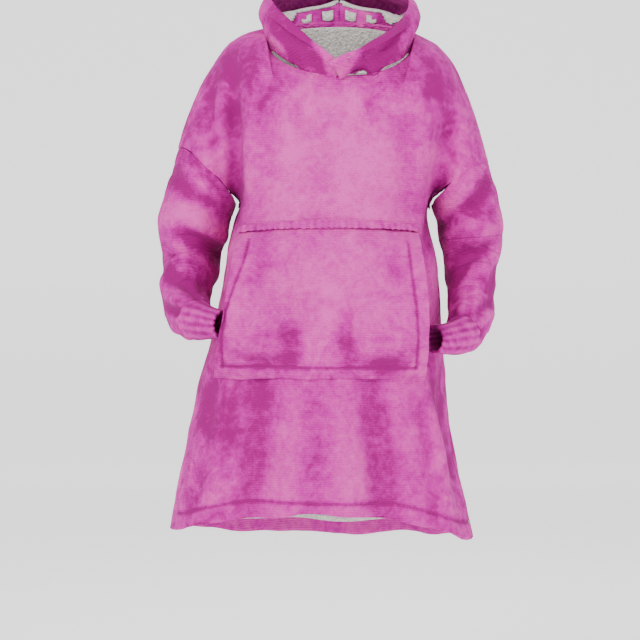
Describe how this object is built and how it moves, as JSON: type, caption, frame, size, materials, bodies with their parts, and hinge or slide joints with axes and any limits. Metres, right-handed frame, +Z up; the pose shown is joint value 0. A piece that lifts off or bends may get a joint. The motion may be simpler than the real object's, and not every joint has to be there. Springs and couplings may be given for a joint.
{
  "type": "wearable blanket hoodie",
  "caption": "Oversized fleece hoodie blanket lined with sherpa: drop sleeves, front pouch pocket, hood worn down as a cowl, flared knee-length skirt.",
  "frame": {"origin": "middle of the neck at the height of the shoulder line, where the garment hangs on its wearer", "axes": "+Z up along the body, +X to the viewer's right as the front is looked at, -Y forward out of the front panel"},
  "size_m": [0.5864, 0.469, 0.966],
  "materials": {
    "fleece": "brushed flannel fleece, pink with magenta nap shading",
    "sherpa": "curly cream-white sherpa pile"
  },
  "bodies": {
    "root": {"front_panel": "fleece", "back_panel": "fleece", "sleeve_left": "fleece", "sleeve_right": "fleece", "cuff_left": "fleece", "cuff_right": "fleece", "pocket": "fleece", "pocket_band": "fleece", "hood_left": "fleece", "hood_right": "fleece", "front_lining": "sherpa", "back_lining": "sherpa", "hood_lining_left": "sherpa", "hood_lining_right": "sherpa"}
  },
  "joints": []
}
